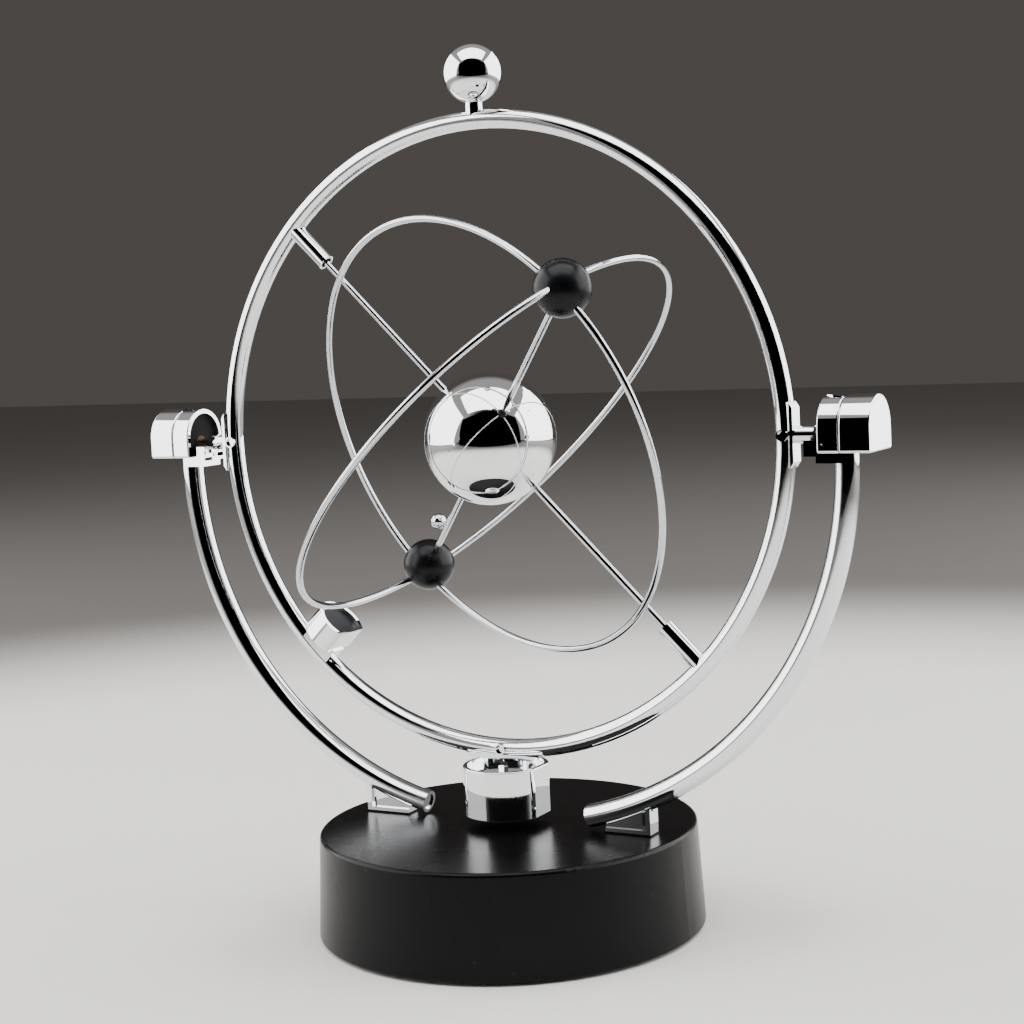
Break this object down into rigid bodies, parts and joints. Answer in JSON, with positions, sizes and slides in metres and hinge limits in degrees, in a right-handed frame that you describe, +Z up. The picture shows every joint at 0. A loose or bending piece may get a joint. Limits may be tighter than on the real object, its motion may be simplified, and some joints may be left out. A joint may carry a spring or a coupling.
{
  "type": "kinetic orbit desk toy",
  "caption": "Desktop kinetic toy: a chrome hoop swings on side pivots above a round black base, with an atom of crossed orbit wires and balls spinning on a slanted rod inside it.",
  "frame": {"origin": "centre of the footprint, on the table", "axes": "+Z up, +X through the right-hand pivot, -Y towards the viewer, and the hoop stands in the X-Z plane at rest"},
  "size_m": [0.2126, 0.1284, 0.2326],
  "materials": {
    "black_abs": "satin moulded black ABS",
    "black_rubber": "matt",
    "zinc_steel": "zinc plated",
    "battery_wrap": "printed wrap",
    "contact_steel": "nickel plated",
    "bobbin_nylon": "natural nylon",
    "copper_winding": "enamelled copper wire",
    "core_iron": "turned",
    "board_laminate": "phenolic laminate",
    "package_epoxy": "moulded epoxy",
    "capacitor_can": "sleeved can",
    "bush_bronze": "sintered bronze",
    "magnet_ferrite": "ground ferrite",
    "hub_nylon": "moulded nylon",
    "wire_chrome": "bright nickel-chrome on steel wire",
    "plated_chrome": "mirror chrome",
    "tube_chrome": "mirror chrome on steel tube"
  },
  "bodies": {
    "stand": {"base_shell": "black_abs", "battery_1": "battery_wrap", "battery_2": "battery_wrap", "battery_3": "battery_wrap", "battery_4": "battery_wrap", "battery_contacts": "contact_steel", "battery_leaf_springs": "contact_steel", "board_capacitor": "capacitor_can", "board_transistor": "package_epoxy", "bottom_cover": "black_abs", "circuit_board": "board_laminate", "coil_bobbin": "bobbin_nylon", "coil_core": "core_iron", "coil_winding": "copper_winding", "cover_screws": "zinc_steel", "foot_screws": "zinc_steel", "left_arm": "tube_chrome", "left_arm_foot": "plated_chrome", "left_bearing_block": "black_abs", "left_housing_cap": "plated_chrome", "left_housing_sleeve": "plated_chrome", "left_pin_bracket": "plated_chrome", "left_pivot_bush": "bush_bronze", "right_arm": "tube_chrome", "right_arm_foot": "plated_chrome", "right_bearing_block": "black_abs", "right_housing_cap": "plated_chrome", "right_housing_sleeve": "plated_chrome", "right_pin_bracket": "plated_chrome", "right_pivot_bush": "bush_bronze", "rubber_feet": "black_rubber"},
    "battery_door": {"battery_door": "black_abs"},
    "swing_hoop": {"hoop": "tube_chrome", "hoop_set_screws": "tube_chrome", "finial_stem": "tube_chrome", "finial_ball": "plated_chrome", "weight_hanger": "tube_chrome", "weight_cup": "plated_chrome", "weight_screws": "zinc_steel", "weight_magnet": "magnet_ferrite", "side_cup": "plated_chrome", "side_magnet": "magnet_ferrite", "side_mount": "plated_chrome", "upper_rod_socket": "tube_chrome", "lower_rod_socket": "tube_chrome", "rod_bushes": "bush_bronze", "left_pivot_pin": "tube_chrome", "right_pivot_pin": "tube_chrome"},
    "orbit_atom": {"spin_rod": "wire_chrome", "orbit_wire_along": "wire_chrome", "orbit_wire_across": "wire_chrome", "nucleus_hub": "hub_nylon", "nucleus_upper_half": "plated_chrome", "nucleus_lower_half": "plated_chrome", "upper_ball_rod": "wire_chrome", "lower_ball_rod": "wire_chrome", "upper_orbit_ball": "black_abs", "lower_orbit_ball": "black_abs", "ball_magnets": "magnet_ferrite", "moon_bead": "wire_chrome"}
  },
  "joints": [
    {"name": "hoop_swing", "type": "hinge", "parent": "stand", "child": "swing_hoop", "pos_m": [0, 0, 0.1305], "axis": [1, 0, 0], "continuous": true},
    {"name": "atom_spin", "type": "hinge", "parent": "swing_hoop", "child": "orbit_atom", "pos_m": [0, 0, 0.1305], "axis": [0.7071, 0, -0.7071], "continuous": true},
    {"name": "battery_door_lift_off", "type": "slide", "parent": "stand", "child": "battery_door", "axis": [0, 0, -1], "range_m": [0, 0.012]}
  ]
}
